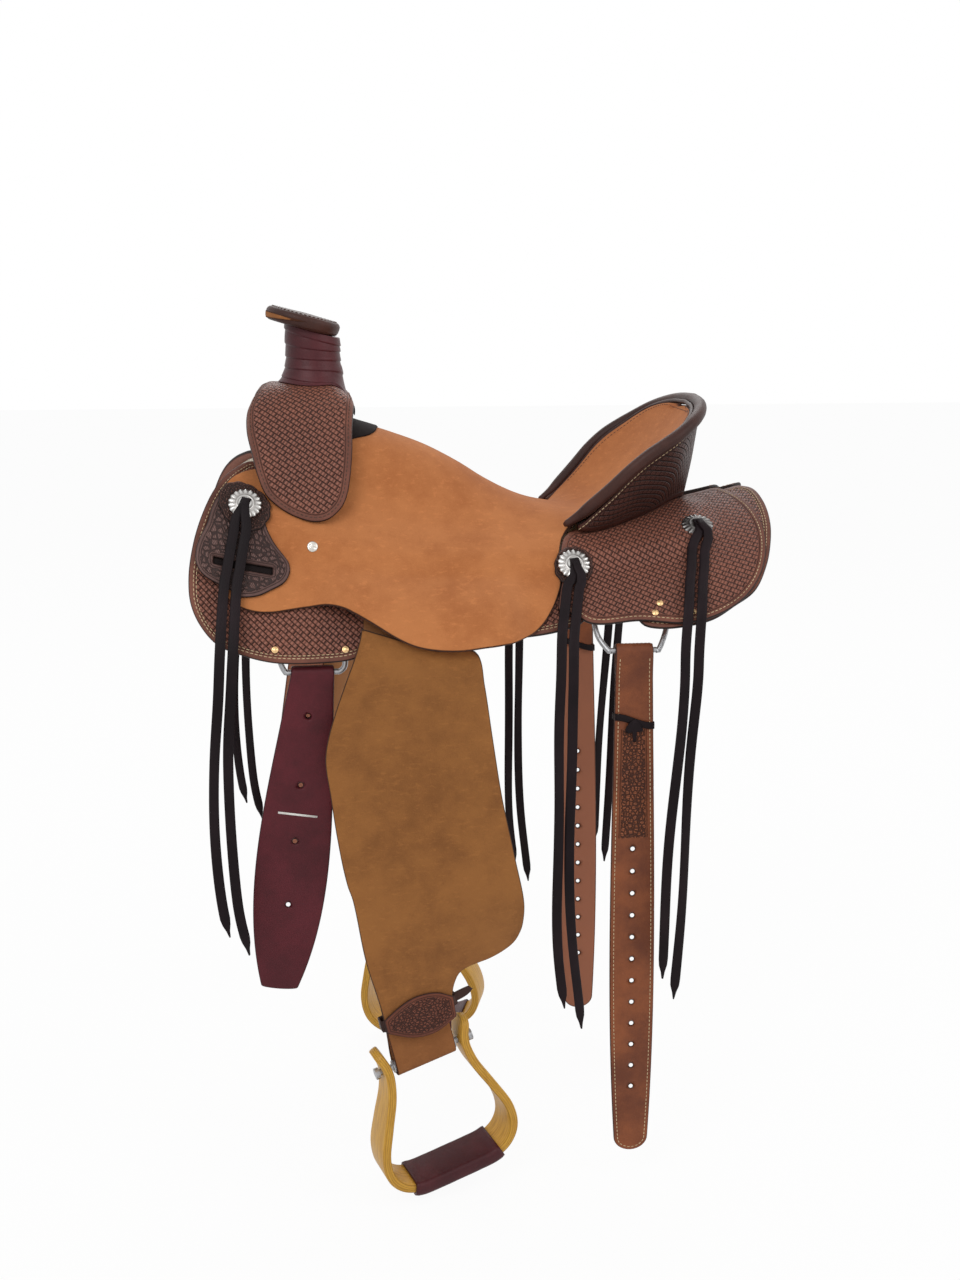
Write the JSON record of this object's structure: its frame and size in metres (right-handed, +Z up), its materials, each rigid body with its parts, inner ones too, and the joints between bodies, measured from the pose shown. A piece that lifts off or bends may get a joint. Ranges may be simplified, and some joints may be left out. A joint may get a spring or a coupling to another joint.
{
  "type": "wade saddle",
  "caption": "Western wade saddle with leather-wrapped horn, high cantle, fenders with bent-wood stirrups, rigging straps and saddle strings.",
  "frame": {"origin": "on the saddle's centre plane, where the horse's back or a saddle rack carries the tree", "axes": "+Z up, -X towards the horse's head, -Y the near (left) side"},
  "size_m": [0.6847, 0.4822, 1.042],
  "materials": {
    "dark_tooled_leather": "basket stamped, waxed",
    "roughout_leather": "rough out, matt",
    "fender_leather": "rough out, matt",
    "burgundy_leather": "latigo, semi-gloss",
    "russet_leather": "stitched strap, satin",
    "string_leather": "oiled latigo string",
    "woolskin": "sheared wool",
    "tree_wood": "bare wood under leather",
    "bent_wood": "varnished laminated wood",
    "silver": "polished, engraved rim",
    "steel": "bright steel"
  },
  "bodies": {
    "saddle": {"near_fleece": "woolskin", "off_fleece": "woolskin", "near_skirt": "dark_tooled_leather", "off_skirt": "dark_tooled_leather", "near_tree_bar": "tree_wood", "off_tree_bar": "tree_wood", "near_rear_jockey": "dark_tooled_leather", "off_rear_jockey": "dark_tooled_leather", "near_upper_stirrup_leather": "roughout_leather", "off_upper_stirrup_leather": "roughout_leather", "near_front_dee": "steel", "off_front_dee": "steel", "near_rear_dee": "steel", "off_rear_dee": "steel", "tree_fork": "tree_wood", "fork_cover": "dark_tooled_leather", "horn_wrap": "burgundy_leather", "horn_cap": "burgundy_leather", "seat_leather": "roughout_leather", "ground_seat": "dark_tooled_leather", "tree_cantle": "tree_wood", "cantle_cover": "dark_tooled_leather", "cantle_binding": "dark_tooled_leather", "near_latigo_keeper": "dark_tooled_leather", "near_front_concho": "silver", "near_front_rosette": "dark_tooled_leather", "near_mid_concho": "silver", "near_mid_rosette": "dark_tooled_leather", "near_rear_concho": "silver", "off_front_concho": "silver", "off_front_rosette": "dark_tooled_leather", "off_mid_concho": "silver", "off_mid_rosette": "dark_tooled_leather", "off_rear_concho": "silver"},
    "near_fender": {"near_fender": "fender_leather", "near_stirrup_leather": "roughout_leather", "near_buckle_plate": "steel", "near_hobble_strap": "dark_tooled_leather"},
    "near_stirrup": {"near_stirrup_frame": "bent_wood", "near_tread_wrap": "burgundy_leather", "near_stirrup_bolt": "steel"},
    "near_sleeve": {"near_buckle_sleeve": "steel"},
    "near_rear_billet": {"near_rear_billet": "russet_leather"},
    "near_front_strings": {"near_front_strings": "string_leather"},
    "near_mid_strings": {"near_mid_strings": "string_leather"},
    "near_rear_strings": {"near_rear_strings": "string_leather"},
    "off_fender": {"off_fender": "fender_leather", "off_stirrup_leather": "roughout_leather", "off_buckle_plate": "steel", "off_hobble_strap": "dark_tooled_leather"},
    "off_stirrup": {"off_stirrup_frame": "bent_wood", "off_tread_wrap": "burgundy_leather", "off_stirrup_bolt": "steel"},
    "off_sleeve": {"off_buckle_sleeve": "steel"},
    "off_rear_billet": {"off_rear_billet": "russet_leather"},
    "off_front_strings": {"off_front_strings": "string_leather"},
    "off_mid_strings": {"off_mid_strings": "string_leather"},
    "off_rear_strings": {"off_rear_strings": "string_leather"},
    "near_latigo": {"near_latigo": "burgundy_leather"},
    "off_front_billet": {"off_front_billet": "russet_leather"}
  },
  "joints": [
    {"name": "near_fender_swing", "type": "hinge", "parent": "saddle", "child": "near_fender", "pos_m": [-0.0903, -0.2218, -0.0775], "axis": [0, -1, 0], "range_deg": [-10, 4]},
    {"name": "near_stirrup_pivot", "type": "hinge", "parent": "near_fender", "child": "near_stirrup", "pos_m": [-0.08874, -0.20017, -0.55865], "axis": [0.9337, 0.2729, 0.2318], "range_deg": [-50, 50]},
    {"name": "near_sleeve_slide", "type": "slide", "parent": "near_fender", "child": "near_sleeve", "axis": [0, 0, 1], "range_m": [0, 0.045]},
    {"name": "near_rear_billet_hang", "type": "hinge", "parent": "saddle", "child": "near_rear_billet", "pos_m": [0.156, -0.1955, -0.0708], "axis": [-1, 0, 0], "range_deg": [-15, 50]},
    {"name": "near_latigo_hang", "type": "hinge", "parent": "saddle", "child": "near_latigo", "pos_m": [-0.209, -0.1955, -0.0868], "axis": [-1, 0, 0], "range_deg": [-12, 40]},
    {"name": "near_front_strings_lift", "type": "hinge", "parent": "saddle", "child": "near_front_strings", "pos_m": [-0.28002, -0.13756, 0.09856], "axis": [-1, 0, 0], "range_deg": [0, 50]},
    {"name": "near_mid_strings_lift", "type": "hinge", "parent": "saddle", "child": "near_mid_strings", "pos_m": [0.09336, -0.15365, 0.02519], "axis": [-1, 0, 0], "range_deg": [0, 50]},
    {"name": "near_rear_strings_lift", "type": "hinge", "parent": "saddle", "child": "near_rear_strings", "pos_m": [0.24747, -0.10973, 0.06348], "axis": [-1, 0, 0], "range_deg": [0, 50]},
    {"name": "off_fender_swing", "type": "hinge", "parent": "saddle", "child": "off_fender", "pos_m": [-0.0903, 0.2218, -0.0775], "axis": [0, -1, 0], "range_deg": [-10, 4]},
    {"name": "off_stirrup_pivot", "type": "hinge", "parent": "off_fender", "child": "off_stirrup", "pos_m": [-0.08874, 0.20017, -0.55865], "axis": [0.9337, -0.2729, 0.2318], "range_deg": [-50, 50]},
    {"name": "off_sleeve_slide", "type": "slide", "parent": "off_fender", "child": "off_sleeve", "axis": [0, 0, 1], "range_m": [0, 0.045]},
    {"name": "off_rear_billet_hang", "type": "hinge", "parent": "saddle", "child": "off_rear_billet", "pos_m": [0.156, 0.1955, -0.0708], "axis": [1, 0, 0], "range_deg": [-15, 50]},
    {"name": "off_front_billet_hang", "type": "hinge", "parent": "saddle", "child": "off_front_billet", "pos_m": [-0.209, 0.1955, -0.0868], "axis": [1, 0, 0], "range_deg": [-12, 40]},
    {"name": "off_front_strings_lift", "type": "hinge", "parent": "saddle", "child": "off_front_strings", "pos_m": [-0.28087, 0.13475, 0.09616], "axis": [1, 0, 0], "range_deg": [0, 50]},
    {"name": "off_mid_strings_lift", "type": "hinge", "parent": "saddle", "child": "off_mid_strings", "pos_m": [0.09336, 0.15365, 0.02519], "axis": [1, 0, 0], "range_deg": [0, 50]},
    {"name": "off_rear_strings_lift", "type": "hinge", "parent": "saddle", "child": "off_rear_strings", "pos_m": [0.24747, 0.10973, 0.06348], "axis": [1, 0, 0], "range_deg": [0, 50]}
  ]
}
